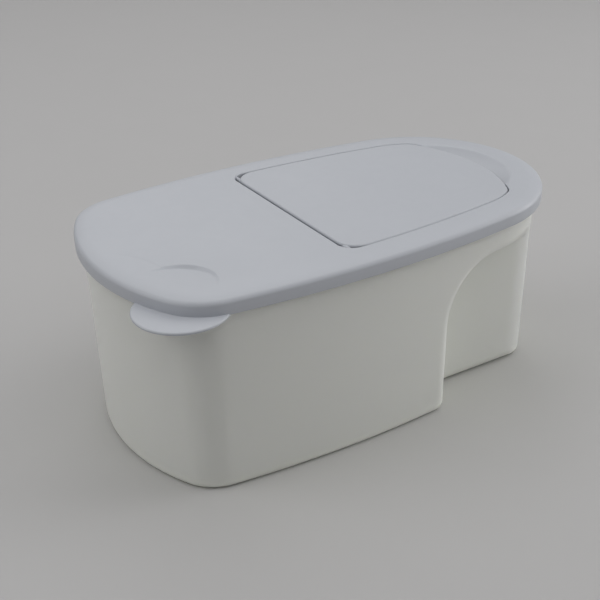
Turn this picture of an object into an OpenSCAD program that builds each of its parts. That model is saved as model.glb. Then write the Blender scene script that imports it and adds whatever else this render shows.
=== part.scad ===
// Low food keeper: a clear tub with finger grips, a lift-off lid and a hinged pour flap.
// Millimetres. +X points to the pour end, +Z is up, and the origin is the middle of the resting face.

/* [Outline] */
// Length over the lid
lid_l = 360; // [340:1:400]
// Width over the lid at its widest place
lid_w = 204; // [192:1:220]
// Radius of the two bowed long sides
side_r = 830; // [700:10:1200]
// How far the widest place lies behind the middle of the length
bow_back = 27; // [10:1:45]
// Radius of the tail end
tail_r = 158; // [140:1:220]
// Radius of the two tail corners
tail_corner_r = 42; // [36:1:60]

/* [Heights] */
// Height from the table to the top of the lid
total_h = 148; // [125:1:180]
// Height of the outside of the lid
lid_h = 12; // [11.5:0.5:16]

/* [Tub] */
// Wall of the tub
tub_wall = 2; // [1.6:0.1:2.6]
// Floor of the tub
tub_floor = 2.2; // [1.8:0.1:3]
// How far the tub's wall stands inside the lid's outline under the rim
wall_inset_top = 5.5; // [5:0.1:7]
// How far the tub's wall stands inside the lid's outline at the table
wall_inset_foot = 8; // [7.5:0.1:12]
// Radius of the edge that the tub stands on
foot_r = 5; // [3.5:0.5:7]
// Width of the foot ring
foot_ring = 12; // [8:1:18]
// How high the middle of the floor is raised over the foot ring
foot_rise = 1.2; // [0.6:0.1:2]
// How far the rim stands out from the wall
rim_out = 2.5; // [1.5:0.1:2.6]
// Height of the rim
rim_h = 3; // [2:0.5:4]

/* [Finger grips] */
// Length of the grips, from the pour end of the lid
grip_l = 131; // [120:1:140]
// Height of the grips
grip_h = 113; // [95:1:120]
// Radius of the arched corner of the grips
grip_arch_r = 43; // [30:1:50]
// Half of the width left between the two grips
grip_half_w = 63; // [56:1:70]
// Radius of the inner edge of the grips
grip_edge_r = 6; // [3:0.5:8]

/* [Lid] */
// Wall of the lid and the flap
lid_t = 2.2; // [1.8:0.1:2.6]
// How far in from the lid's outline its soft edge begins
lid_edge_in = 11.5; // [9:0.5:13]
// How far the lid's soft edge drops
lid_edge_drop = 5; // [4:0.5:6]
// Depth of the locating rib below the seal
rib_drop = 5; // [3:0.5:7]
// Thickness of the locating rib
rib_t = 1.6; // [1.2:0.1:2.2]
// Radius of the pull tab
tab_r = 30; // [26:1:32]
// Thickness of the pull tab
tab_t = 2.2; // [1.6:0.1:2.6]
// How far the pull tab's edge stays inside the lid's length and width
tab_margin = 0.5; // [0.2:0.1:3]
// Radius of the thumb dish over the tab
dish_r = 25; // [18:1:28]
// Depth of the thumb dish at its inner wall
dish_depth = 2.4; // [1:0.1:3]
// Direction in which the thumb dish gets deeper, from the length towards the far side
dish_turn = 45; // [20:5:70]
// How far the thumb dish's middle lies ahead of the tab's middle
dish_ahead = 3.5; // [0:0.5:8]
// How far the thumb dish's middle lies in from the tab's middle
dish_in = 11.5; // [8:0.5:16]
// Depth of the wide shallow swipe beside the dish
swipe_depth = 0.8; // [0.4:0.1:1]
// How far the swipe's middle lies in from the dish's middle
swipe_in = 23; // [15:1:30]

/* [Pour flap] */
// Width of the lid's border round the flap's pocket and the finger scoop
border = 21.5; // [20.5:0.5:25]
// Where the hinge edge of the pocket lies, from the middle of the length
hinge_edge_x = -33; // [-45:0.5:-18]
// Length of the finger scoop ahead of the flap's free end
scoop_l = 17.5; // [14:0.5:22]
// Radius of the finger scoop's outline
scoop_r = 60; // [55:1:64]
// Depth of the finger scoop at the flap's free end
scoop_depth = 6.5; // [5:0.1:7]
// Depth of the pocket
pocket_depth = 7.5; // [7:0.1:9]
// Radius along the bottom edge of the pocket
pocket_edge_r = 5; // [3:0.5:5.5]
// Radius of the pocket's two corners at the hinge
pocket_corner_r = 12; // [10:0.5:14]
// Width of the ledge round the pour opening
ledge = 12; // [10.5:0.5:14]
// Width of the ledge at the hinge
hinge_ledge = 14; // [13.5:0.5:20]
// Width of the ledge under the flap's free end
end_ledge = 16; // [14:0.5:20]
// Radius of the flap's bowed free end
flap_front_r = 115; // [105:1:130]
// Radius of the corners at the flap's free end
flap_end_r = 12; // [8:1:16]
// Radius of the flap's eased top edge
flap_edge_r = 1.2; // [0.6:0.1:1.6]
// How much rounder the flap's corners at the hinge are than the pocket's
corner_ease = 4; // [3.5:0.5:6]
// Radius of the corners of the pour opening
port_r = 20; // [16:1:20]

/* [Hinge] */
// Radius of the bead that runs along the hinge
bead_r = 2.2; // [2:0.1:2.4]
// How far the bead is set in under the flap's hinge edge
bead_in = 0.3; // [0.2:0.1:0.6]
// Radius of the moulded axle stubs
axle_r = 1.5; // [1.2:0.1:1.8]
// How far an axle stub reaches into its socket
axle_grip = 4.8; // [3.5:0.1:6]

/* [Seals] */
// Thickness of the ring between lid and tub
lid_seal_t = 2.4; // [1.8:0.1:2.8]
// Width of the ring between lid and tub
lid_seal_w = 4.6; // [3.6:0.1:4.8]
// Thickness of the ring under the flap
flap_seal_t = 2.5; // [2:0.1:2.8]
// Width of the ring under the flap
flap_seal_w = 4; // [3:0.1:4.4]

/* [Clearances] */
// Gap along the sides of the flap
side_gap = 0.9; // [0.6:0.1:1.4]
// Gap along the hinge edge of the flap
hinge_gap = 2.2; // [2.1:0.1:2.8]
// Gap between the lid's skirt and the tub's rim
rim_gap = 0.8; // [0.5:0.1:1]
// Gap between the locating rib and the tub's wall
rib_gap = 0.8; // [0.5:0.1:1.2]
// Radial gap of an axle stub in its socket
axle_gap = 0.05; // [0.03:0.01:0.1]
// Gap past the end of an axle stub
axle_end_gap = 0.4; // [0.3:0.1:0.8]
// Gap round the flap's plug in the pour opening
plug_gap = 0.8; // [0.5:0.1:1.2]

/* [Hidden] */
$fn = 180;

// Degrees in a full turn
full_turn = 360;
// How far cutting solids run past the faces that they cut
past = 1;
// How far the straight facets of an outline may stray from its arcs
facet_sag = 0.15;
// Coarsest facet, as a share of its arc's radius
facet_share = 0.3;
// Arcs whose ends are nearer than this share one point
same_point = 0.01;
// Facets in a quarter round of an edge
edge_steps = 5;

// Places along the length, and heights from the table up
skirt_z = total_h - lid_h;
plate_z = total_h - lid_t;
seal_seat_z = plate_z - lid_seal_t;
rim_z = seal_seat_z - lid_seal_t;
pocket_z = total_h - pocket_depth;
pocket_under_z = pocket_z - lid_t;
flap_seal_seat_z = pocket_z + flap_seal_t;
hinge_z = total_h - bead_r;
hinge_x = hinge_edge_x + hinge_gap + bead_in + bead_r;
scoop_end_x = lid_l / 2 - border;
scoop_x = scoop_end_x - scoop_r;
scoop_z = total_h - scoop_depth;
flap_end_x = scoop_end_x - scoop_l;
grip_x = lid_l / 2 - grip_l;
flap_corner_r = pocket_corner_r + corner_ease;
cavity_z = foot_rise + tub_floor;

// Insets from the lid's outline
rim_inset = wall_inset_top - rim_out;
skirt_t = rim_inset - rim_gap;
rib_inset = wall_inset_top + tub_wall + rib_gap;
rib_inner_inset = rib_inset + rib_t;
flap_inset = border + side_gap;
port_inset = border + ledge;
foot_inset = wall_inset_foot + foot_r + foot_ring;

// Centres of the outline's arcs
side_x = -bow_back;
side_y = lid_w / 2 - side_r;
nose_reach = lid_l / 2 - side_x;
nose_r = (side_r^2 - nose_reach^2 - side_y^2) / (2 * (side_r - nose_reach));
nose_x = lid_l / 2 - nose_r;
tail_x = tail_r - lid_l / 2;
corner = meeting([tail_x, 0], tail_r - tail_corner_r, [side_x, side_y], side_r - tail_corner_r);
nose_turn = atan2(-side_y, nose_x - side_x);
side_turn = atan2(corner.y - side_y, corner.x - side_x);
tail_turn = atan2(corner.y, corner.x - tail_x);

// Pull tab and thumb dish
tab_x = tab_r + tab_margin - lid_l / 2;
tab_y = tab_r + tab_margin - lid_w / 2;
dish_x = tab_x + dish_ahead;
dish_y = tab_y + dish_in;
swipe_r = 2 * dish_r;
swipe_x = dish_x - swipe_r;
swipe_y = dish_y + swipe_in;

// Left meeting point of two circles, for the far side of the outline
function meeting(c0, r0, c1, r1) =
    let (
        d = norm(c1 - c0),
        along = (r0^2 - r1^2 + d^2) / (2 * d),
        off = sqrt(r0^2 - along^2),
        u = (c1 - c0) / d
    )
    c0 + along * u + off * [u.y, -u.x];

// An arc of an outline: centre, radius, first angle, last angle, counter-clockwise
function arc(c, r, from, to) = [c, r, from, to];
function arc_at(a, angle, inset) = a[0] + (a[1] - inset) * [cos(angle), sin(angle)];
function arc_start(a, inset) = arc_at(a, a[2], inset);
function arc_end(a, inset) = arc_at(a, a[3], inset);
function facet_angle(r) = 2 * acos(1 - min(facet_sag / r, facet_share));
function arc_steps(a) = 2 * ceil((a[3] - a[2]) / facet_angle(a[1]) / 2);
function arc_angle(a, i) = a[2] + (a[3] - a[2]) * i / arc_steps(a);

// Points of an outline, each joint of two arcs taken once
function ring(path, inset) = [
    for (k = [0:len(path) - 1])
        let (
            a = path[k],
            run = arc_start(path[(k + 1) % len(path)], 0) - arc_end(a, 0),
            last = norm(run) > same_point ? arc_steps(a) : arc_steps(a) - 1
        )
        for (i = [0:last])
            arc_at(a, arc_angle(a, i), inset)
];

// The same arc on the near side, in the same direction of travel
function mirrored(a) = arc([a[0].x, -a[0].y], a[1], full_turn - a[3], full_turn - a[2]);

// Outline of the lid, from the pour end round the far side
far_side = arc([side_x, side_y], side_r, nose_turn, side_turn);
far_corner = arc(corner, tail_corner_r, side_turn, tail_turn);
lid_path = [
    arc([nose_x, 0], nose_r, -nose_turn, nose_turn),
    far_side,
    far_corner,
    arc([tail_x, 0], tail_r, tail_turn, full_turn - tail_turn),
    mirrored(far_corner),
    mirrored(far_side)
];

// Corner that rounds the lid's side into a straight edge across the lid at x
function hinge_corner(x, inset, r) =
    let (
        cx = x + r,
        cy = side_y + sqrt((side_r - inset - r)^2 - (cx - side_x)^2)
    )
    arc([cx, cy], r, atan2(cy - side_y, cx - side_x), 180);

// Corner that rounds a bowed edge, furthest out at x, into the lid's nose
function end_corner(x, inset, r, front_r) =
    let (c = meeting([nose_x, 0], nose_r - inset - r, [x - front_r, 0], front_r - r))
    arc(c, r, atan2(c.y, c.x - x + front_r), atan2(c.y, c.x - nose_x));

function far_front(x, front_r, to) = arc([x - front_r, 0], front_r, 0, to);
function far_nose(inset, from) = arc([nose_x, 0], nose_r - inset, from, nose_turn);
function far_side_to(inset, to) = arc([side_x, side_y], side_r - inset, nose_turn, to);
function both_sides(half) = concat(half, [for (i = [len(half) - 1:-1:0]) mirrored(half[i])]);

// Outline with a straight edge at the hinge and a bowed free end
function door_path(x, end_x, inset, r, end_r, front_r) =
    let (
        back = hinge_corner(x, inset, r),
        bend = end_corner(end_x, inset, end_r, front_r)
    )
    both_sides([
        far_front(end_x, front_r, bend[2]),
        bend,
        far_nose(inset, bend[3]),
        far_side_to(inset, back[2]),
        back
    ]);

opening_path = door_path(
    hinge_edge_x, flap_end_x + side_gap, border, pocket_corner_r, flap_end_r + side_gap, flap_front_r + side_gap
);
flap_path = door_path(
    hinge_edge_x + hinge_gap, flap_end_x, flap_inset, flap_corner_r, flap_end_r, flap_front_r
);
port_path = door_path(
    hinge_edge_x + hinge_ledge, flap_end_x - end_ledge, port_inset, port_r, port_r, flap_front_r - end_ledge
);

// Round outline of the finger scoop
scoop_path = [
    arc([scoop_x, 0], scoop_r, 0, full_turn / 2),
    arc([scoop_x, 0], scoop_r, full_turn / 2, full_turn)
];

// Flat slab inside an outline
module slab(path, inset, z0, z1) {
    translate([0, 0, z0])
        linear_extrude(z1 - z0)
            polygon(ring(path, inset));
}

// Flat hoop between two insets of an outline
module hoop(path, outer, inner, z0, z1) {
    difference() {
        slab(path, outer, z0, z1);
        slab(path, inner, z0 - past, z1 + past);
    }
}

// Skin through rings of one outline, each level an inset and a height, from the bottom up
module loft(path, levels) {
    rings = [for (level = levels) [for (q = ring(path, level.x)) [q.x, q.y, level.y]]];
    n = len(rings[0]);
    top = len(levels) - 1;
    walls = [
        for (k = [0:top - 1])
            for (i = [0:n - 1])
                let (
                    j = (i + 1) % n,
                    low = k * n,
                    high = low + n
                )
                each [[low + i, high + i, high + j], [low + i, high + j, low + j]]
    ];
    bottom_face = [[for (i = [0:n - 1]) i]];
    top_face = [[for (i = [n - 1:-1:0]) top * n + i]];
    polyhedron([for (r = rings) each r], concat(bottom_face, walls, top_face));
}

// Levels of an oval edge between two angles, about a centre given as inset and height
function oval_levels(inset, z, across, tall, from, to) = [
    for (i = [0:edge_steps])
        let (angle = from + (to - from) * i / edge_steps)
        [inset - across * cos(angle), z + tall * sin(angle)]
];
function edge_levels(inset, z, r, from, to) = oval_levels(inset, z, r, r, from, to);

// Inset of the tub's outer wall at a height
function wall_inset(z) = wall_inset_foot + (wall_inset_top - wall_inset_foot) * z / rim_z;

// Solid shape of the tub with a drafted wall and a rounded foot, grown inwards by a wall
module tub_solid(grow, z0, z1) {
    lean = atan((wall_inset_foot - wall_inset_top) / rim_z);
    round_z = z0 + foot_r;
    round_inset = wall_inset(round_z) + grow + foot_r / cos(lean);
    loft(lid_path, concat(
        edge_levels(round_inset, round_z, foot_r, -90, -lean),
        [[wall_inset(z1) + grow, z1]]
    ));
}

// Arched side view of a grip, with its other corners outside the tub
grip_path = [
    arc([lid_l, grip_h - grip_arch_r], grip_arch_r, 0, 90),
    arc([grip_x + grip_arch_r, grip_h - grip_arch_r], grip_arch_r, 90, 180),
    arc([grip_x + grip_arch_r, -grip_arch_r], grip_arch_r, 180, 270),
    arc([lid_l, -grip_arch_r], grip_arch_r, 270, full_turn)
];

// One finger grip as a cutter with a rounded inner edge, on the near side
module grip_cutter(grow) {
    r = grip_edge_r + grow;
    translate([0, -grip_half_w, 0])
        rotate([90, 0, 0])
            loft(grip_path, concat(
                edge_levels(grip_edge_r, grip_edge_r, r, -90, 0),
                [[-grow, lid_w]]
            ));
}

module grip_cutters(grow) {
    grip_cutter(grow);
    mirror([0, 1, 0])
        grip_cutter(grow);
}

// Clear tub: drafted wall, rim, foot ring and a finger grip on each side of the pour end
module tub() {
    color([0.86, 0.88, 0.86])
        difference() {
            union() {
                difference() {
                    tub_solid(0, 0, rim_z);
                    grip_cutters(0);
                }
                slab(lid_path, rim_inset, rim_z - rim_h, rim_z);
            }
            difference() {
                tub_solid(tub_wall, cavity_z, rim_z + past);
                grip_cutters(tub_wall);
            }
            difference() {
                slab(lid_path, foot_inset, -past, foot_rise);
                grip_cutters(foot_ring);
            }
        }
}

// Outside of the lid as one solid with a soft top edge
module lid_solid() {
    loft(lid_path, concat(
        [[0, skirt_z]],
        oval_levels(lid_edge_in, total_h - lid_edge_drop, lid_edge_in, lid_edge_drop, 0, 90)
    ));
}

// Hollow under the lid: the skirt's inside, the seal's seat and the underside of the plate
module lid_hollow() {
    slab(lid_path, skirt_t, skirt_z - past, seal_seat_z);
    slab(lid_path, rib_inner_inset, skirt_z - past, plate_z);
}

// Rib that locates the lid inside the tub's mouth
module locating_rib() {
    hoop(lid_path, rib_inset, rib_inner_inset, rim_z - rib_drop, seal_seat_z + lid_t / 2);
}

// Pull tab below the skirt at the near tail corner
module pull_tab() {
    edge = tab_t / 2;
    difference() {
        translate([tab_x, tab_y, skirt_z - tab_t / 2])
            rotate_extrude() {
                square([tab_r - edge, tab_t]);
                translate([tab_r - edge, edge])
                    circle(edge);
            }
        slab(lid_path, skirt_t, skirt_z - lid_h, total_h);
    }
}

// Thickened place under the thumb dish
module dish_boss() {
    intersection() {
        translate([dish_x, dish_y, seal_seat_z])
            cylinder(r = dish_r + lid_t, h = plate_z - seal_seat_z + lid_t / 2);
        slab(lid_path, rib_inset, seal_seat_z, total_h);
    }
}

// Thumb dish over the tab, deepest at its inner wall, with the wide swipe that leads into it
module dish_cut() {
    tilt = atan(dish_depth / (2 * dish_r));
    translate([dish_x, dish_y, total_h])
        rotate([0, tilt, dish_turn])
            translate([0, 0, -dish_depth / 2])
                cylinder(r = dish_r, h = 2 * dish_depth);
    translate([swipe_x, swipe_y, total_h - swipe_depth])
        cylinder(r = swipe_r, h = swipe_depth + past);
}

// Pocket for the flap, with a rounded bottom edge
module pocket_cut() {
    loft(opening_path, concat(
        edge_levels(pocket_edge_r, pocket_z + pocket_edge_r, pocket_edge_r, -90, 0),
        [[0, total_h + past]]
    ));
}

// Finger scoop that ramps up from the flap's free end to the border
module scoop_cut() {
    ramp_r = (scoop_l^2 + scoop_depth^2) / (2 * scoop_depth);
    ramp_turn = asin(scoop_l / ramp_r);
    loft(scoop_path, concat(
        edge_levels(scoop_l, scoop_z + ramp_r, ramp_r, -90, ramp_turn - 90),
        [[0, total_h + past]]
    ));
}

// Sockets that carry the flap's axle stubs, one on each side
module socket_boss() {
    side = lid_w / 2 - border;
    deep = axle_grip + axle_end_gap + lid_t;
    half = axle_r + lid_t;
    for (y = [side - past, -side - deep])
        translate([hinge_x - half, y, hinge_z - half])
            cube([2 * half, deep + past, plate_z + lid_t / 2 - hinge_z + half]);
}

module socket_bore() {
    reach = lid_w / 2 - border + axle_grip + axle_end_gap;
    translate([hinge_x, reach, hinge_z])
        rotate([90, 0, 0])
            cylinder(r = axle_r + axle_gap, h = 2 * reach);
}

// Lid: plate, soft edge, skirt, seal seat, flap pocket with its pour opening, scoop and pull tab
module lid() {
    color([0.93, 0.93, 0.95])
        difference() {
            union() {
                difference() {
                    lid_solid();
                    lid_hollow();
                }
                locating_rib();
                slab(opening_path, -lid_t, pocket_under_z, plate_z + lid_t / 2);
                slab(scoop_path, -lid_t, scoop_z - lid_t, plate_z + lid_t / 2);
                socket_boss();
                dish_boss();
                pull_tab();
            }
            pocket_cut();
            scoop_cut();
            slab(port_path, 0, pocket_under_z - past, pocket_z + past);
            socket_bore();
            dish_cut();
        }
}

// Soft ring between the lid and the tub's rim
module lid_seal() {
    middle = (rim_inset + rib_inset) / 2;
    color([0.80, 0.82, 0.82])
        hoop(lid_path, middle - lid_seal_w / 2, middle + lid_seal_w / 2, rim_z, seal_seat_z);
}

// Axle stubs and the bead along the hinge
module hinge_bead() {
    corner_arc = hinge_corner(hinge_edge_x + hinge_gap, flap_inset, flap_corner_r);
    bead_half = corner_arc[0].y;
    axle_half = lid_w / 2 - border + axle_grip;
    translate([hinge_x, bead_half, hinge_z])
        rotate([90, 0, 0])
            cylinder(r = bead_r, h = 2 * bead_half);
    translate([hinge_x, axle_half, hinge_z])
        rotate([90, 0, 0])
            cylinder(r = axle_r, h = 2 * axle_half);
}

// Plate of the flap with an eased top edge
module flap_plate() {
    loft(flap_path, concat(
        [[0, plate_z]],
        edge_levels(flap_edge_r, total_h - flap_edge_r, flap_edge_r, 0, 90)
    ));
}

// Pour flap: plate, hinge bead with axle stubs, seal seat and locating plug
module flap() {
    seat_out = -flap_seal_w - plug_gap;
    plug_in = plug_gap + lid_t;
    color([0.93, 0.93, 0.95]) {
        flap_plate();
        hinge_bead();
        hoop(port_path, seat_out, plug_in, flap_seal_seat_z, plate_z + lid_t / 2);
        hoop(port_path, plug_gap, plug_in, pocket_under_z, plate_z + lid_t / 2);
    }
}

// Soft ring under the flap, round the pour opening
module flap_seal() {
    color([0.80, 0.82, 0.82])
        hoop(port_path, -flap_seal_w - plug_gap, -plug_gap, pocket_z, flap_seal_seat_z);
}

tub();
lid();
lid_seal();
flap();
flap_seal();
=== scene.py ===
# %% [markdown]
# # A low food keeper with a pour flap
# The keeper is three mouldings and two soft rings: a milky tub, a white lid that lifts off, a white
# flap that swings in the lid, and a ring under each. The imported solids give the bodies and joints.
# This lesson makes the surfaces that the eye sees, in the same frame, and lights them softly.

# %% Load the frame
import math

import bmesh
import bpy
import numpy as np
from mathutils import Matrix, Vector
from mathutils.geometry import delaunay_2d_cdt


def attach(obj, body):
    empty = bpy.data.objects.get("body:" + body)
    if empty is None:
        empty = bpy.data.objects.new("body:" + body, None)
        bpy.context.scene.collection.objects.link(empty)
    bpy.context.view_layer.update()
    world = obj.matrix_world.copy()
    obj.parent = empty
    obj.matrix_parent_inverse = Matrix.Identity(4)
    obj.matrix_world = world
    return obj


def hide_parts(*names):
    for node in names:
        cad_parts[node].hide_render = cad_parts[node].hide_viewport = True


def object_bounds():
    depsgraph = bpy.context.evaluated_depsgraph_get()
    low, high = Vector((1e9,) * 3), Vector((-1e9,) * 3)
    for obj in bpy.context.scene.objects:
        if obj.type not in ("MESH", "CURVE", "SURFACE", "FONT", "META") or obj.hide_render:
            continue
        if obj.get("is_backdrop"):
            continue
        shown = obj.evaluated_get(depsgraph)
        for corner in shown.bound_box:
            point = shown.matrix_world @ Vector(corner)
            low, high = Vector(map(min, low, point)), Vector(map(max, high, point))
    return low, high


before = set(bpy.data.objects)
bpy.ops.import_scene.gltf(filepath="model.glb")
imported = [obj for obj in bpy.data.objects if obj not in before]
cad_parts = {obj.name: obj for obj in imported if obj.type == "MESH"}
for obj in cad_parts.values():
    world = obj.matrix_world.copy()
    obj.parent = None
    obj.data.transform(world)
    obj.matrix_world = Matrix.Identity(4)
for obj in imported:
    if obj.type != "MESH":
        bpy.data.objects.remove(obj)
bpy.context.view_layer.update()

# %% [markdown]
# ## Camera
# The view is a little above the lid, from the tail's near corner. A camera can be aimed by a
# constraint or by hand. Here its axes are worked out from an azimuth, an elevation and a small roll,
# so that the same numbers give the same picture each time.

# %% Camera
CAMERA_AZIMUTH = math.radians(-31.372)
CAMERA_ELEVATION = math.radians(27.980)
CAMERA_ROLL = math.radians(1.162)
CAMERA_DISTANCE = 0.8913
CAMERA_TARGET = Vector((0.01603, 0.06062, 0.03446))
SENSOR_MM = 36.0
LENS_MM = 64.89


def aim_camera():
    """A camera that looks at the target, turned about its own line of sight by the roll."""
    flat = math.cos(CAMERA_ELEVATION)
    back = Vector(
        (math.sin(CAMERA_AZIMUTH) * flat, -math.cos(CAMERA_AZIMUTH) * flat, math.sin(CAMERA_ELEVATION))
    )
    level = Vector((math.cos(CAMERA_AZIMUTH), math.sin(CAMERA_AZIMUTH), 0.0))
    rise = back.cross(level)
    right = level * math.cos(CAMERA_ROLL) - rise * math.sin(CAMERA_ROLL)
    up = level * math.sin(CAMERA_ROLL) + rise * math.cos(CAMERA_ROLL)
    data = bpy.data.cameras.new("camera")
    data.sensor_width = SENSOR_MM
    data.lens = LENS_MM
    camera = bpy.data.objects.new("camera", data)
    bpy.context.collection.objects.link(camera)
    turn = Matrix((right, up, back)).transposed().to_4x4()
    camera.matrix_world = Matrix.Translation(CAMERA_TARGET + back * CAMERA_DISTANCE) @ turn
    bpy.context.scene.camera = camera
    return camera


camera = aim_camera()
print("camera at", [round(v, 3) for v in camera.matrix_world.translation])

# %% [markdown]
# ## The outline that every piece follows
# Seen from above, the lid is six arcs that run smoothly into each other: a round nose, two long bowed
# sides, two tail corners and a shallow tail. The tub, the flap and the rings follow the same arcs at
# some inset. Writing the arcs once, and asking for them at any inset, keeps every gap even.
# Sizes from here on are in millimetres, and become metres where a mesh is made.

# %% Arcs of the outline
MM = 0.001
LID_LENGTH = 360.0
LID_WIDTH = 204.0
SIDE_RADIUS = 830.0
BOW_BACK = 27.0
TAIL_RADIUS = 158.0
TAIL_CORNER_RADIUS = 42.0
TURN = 2 * math.pi

side_centre = np.array([-BOW_BACK, LID_WIDTH / 2 - SIDE_RADIUS])
nose_reach = LID_LENGTH / 2 + BOW_BACK
nose_radius = (SIDE_RADIUS**2 - nose_reach**2 - side_centre[1] ** 2) / (2 * (SIDE_RADIUS - nose_reach))
nose_x = LID_LENGTH / 2 - nose_radius
tail_x = TAIL_RADIUS - LID_LENGTH / 2


def meeting(centre_a, radius_a, centre_b, radius_b):
    """The meeting point of two circles that lies on the far side of the keeper."""
    between = np.asarray(centre_b) - centre_a
    span = np.hypot(*between)
    along = (radius_a**2 - radius_b**2 + span**2) / (2 * span)
    off = math.sqrt(radius_a**2 - along**2)
    unit = between / span
    return np.asarray(centre_a) + along * unit + off * np.array([unit[1], -unit[0]])


def mirrored(arc):
    """The same arc on the near side, in the same direction of travel."""
    x, y, radius, first, last = arc
    return (x, -y, radius, TURN - last, TURN - first)


tail_corner = meeting(
    (tail_x, 0.0), TAIL_RADIUS - TAIL_CORNER_RADIUS, side_centre, SIDE_RADIUS - TAIL_CORNER_RADIUS
)
nose_turn = math.atan2(-side_centre[1], nose_x - side_centre[0])
side_turn = math.atan2(tail_corner[1] - side_centre[1], tail_corner[0] - side_centre[0])
tail_turn = math.atan2(tail_corner[1], tail_corner[0] - tail_x)
far_side = (*side_centre, SIDE_RADIUS, nose_turn, side_turn)
far_corner = (*tail_corner, TAIL_CORNER_RADIUS, side_turn, tail_turn)
lid_path = [
    (nose_x, 0.0, nose_radius, -nose_turn, nose_turn),
    far_side,
    far_corner,
    (tail_x, 0.0, TAIL_RADIUS, tail_turn, TURN - tail_turn),
    mirrored(far_corner),
    mirrored(far_side),
]
print("nose radius", round(nose_radius, 2), "tail corner at", tail_corner.round(2))

# %% Outlines of the pocket, the flap and the pour opening
BORDER = 21.5
HINGE_EDGE_X = -33.0
HINGE_GAP = 2.2
SIDE_GAP = 0.9
SCOOP_LENGTH = 17.5
SCOOP_RADIUS = 60.0
POCKET_CORNER_RADIUS = 12.0
FLAP_CORNER_RADIUS = 16.0
FLAP_FRONT_RADIUS = 115.0
FLAP_END_RADIUS = 12.0
LEDGE = 12.0
HINGE_LEDGE = 14.0
END_LEDGE = 16.0
PORT_RADIUS = 20.0
scoop_end_x = LID_LENGTH / 2 - BORDER
scoop_centre = np.array([scoop_end_x - SCOOP_RADIUS, 0.0])
flap_end_x = scoop_end_x - SCOOP_LENGTH


def hinge_corner(x, inset, radius):
    """The arc that turns the lid's side into a straight edge across the lid at x."""
    cx = x + radius
    cy = side_centre[1] + math.sqrt((SIDE_RADIUS - inset - radius) ** 2 - (cx - side_centre[0]) ** 2)
    return (cx, cy, radius, math.atan2(cy - side_centre[1], cx - side_centre[0]), math.pi)


def end_corner(x, inset, radius, front_radius):
    """The arc that turns a bowed edge, furthest out at x, into the lid's nose."""
    front_x = x - front_radius
    cx, cy = meeting((nose_x, 0.0), nose_radius - inset - radius, (front_x, 0.0), front_radius - radius)
    return (cx, cy, radius, math.atan2(cy, cx - front_x), math.atan2(cy, cx - nose_x))


def both_sides(half):
    """A path made whole by its mirror image."""
    return half + [mirrored(arc) for arc in reversed(half)]


def door_outline(x, end_x, inset, radius, end_radius, front_radius):
    """Straight at the hinge and bowed at the free end."""
    back = hinge_corner(x, inset, radius)
    bend = end_corner(end_x, inset, end_radius, front_radius)
    front = (end_x - front_radius, 0.0, front_radius, 0.0, bend[3])
    nose = (nose_x, 0.0, nose_radius - inset, bend[4], nose_turn)
    side = (*side_centre, SIDE_RADIUS - inset, nose_turn, back[3])
    return both_sides([front, bend, nose, side, back])


pocket_path = door_outline(
    HINGE_EDGE_X,
    flap_end_x + SIDE_GAP,
    BORDER,
    POCKET_CORNER_RADIUS,
    FLAP_END_RADIUS + SIDE_GAP,
    FLAP_FRONT_RADIUS + SIDE_GAP,
)
flap_path = door_outline(
    HINGE_EDGE_X + HINGE_GAP,
    flap_end_x,
    BORDER + SIDE_GAP,
    FLAP_CORNER_RADIUS,
    FLAP_END_RADIUS,
    FLAP_FRONT_RADIUS,
)
port_path = door_outline(
    HINGE_EDGE_X + HINGE_LEDGE,
    flap_end_x - END_LEDGE,
    BORDER + LEDGE,
    PORT_RADIUS,
    PORT_RADIUS,
    FLAP_FRONT_RADIUS - END_LEDGE,
)
print("outlines with", len(pocket_path), len(flap_path), len(port_path), "arcs")

# %% [markdown]
# ## Rings, lofts and fills
# Most faces of a moulding run round the outline: a skirt, a rounded edge, a ledge. They are lofts
# through rings of points, where a ring is the outline at one inset and one height. What is left
# between two rings is flat, and is filled with triangles that keep both rings as they are.

# %% Points round an outline
RING_STEP = 2.6
CORNER_STEP = math.radians(7.5)
SAME_POINT = 0.01


def arc_point(arc, angle, inset):
    x, y, radius, _, _ = arc
    return np.array([x + (radius - inset) * math.cos(angle), y + (radius - inset) * math.sin(angle)])


def ring(path, inset):
    """Points round a path at an inset. The count doesn't change with the inset."""
    points = []
    for arc, after in zip(path, path[1:] + path[:1]):
        _, _, radius, first, last = arc
        steps = math.ceil(max(radius * (last - first) / RING_STEP, (last - first) / CORNER_STEP))
        points += [arc_point(arc, first + (last - first) * i / steps, inset) for i in range(steps)]
        run = np.hypot(*(arc_point(after, after[3], 0.0) - arc_point(arc, last, 0.0)))
        if run > SAME_POINT:
            begin, end = arc_point(arc, last, inset), arc_point(after, after[3], inset)
            steps = math.ceil(run / RING_STEP)
            points += [begin + (end - begin) * i / steps for i in range(steps)]
    return np.array(points)


def inset_of(points, path):
    """How far points lie inside a path, and their place on it as arc centre and direction."""
    best = np.full(len(points), np.inf)
    centre = np.zeros((len(points), 2))
    reach = np.zeros(len(points))
    for x, y, radius, first, last in path:
        offset = points - (x, y)
        angle = np.arctan2(offset[:, 1], offset[:, 0])
        inside = (angle - first) % TURN <= (last - first) + 1e-9
        depth = radius - np.hypot(offset[:, 0], offset[:, 1])
        better = inside & (depth < best)
        best[better] = depth[better]
        centre[better] = (x, y)
        reach[better] = radius
    return best, centre, reach


print("ring of", len(ring(lid_path, 0.0)), "points")

# %% A skin collects the faces of one piece
CDT_MARGIN = 1e-5
WELD = 2e-6


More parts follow.
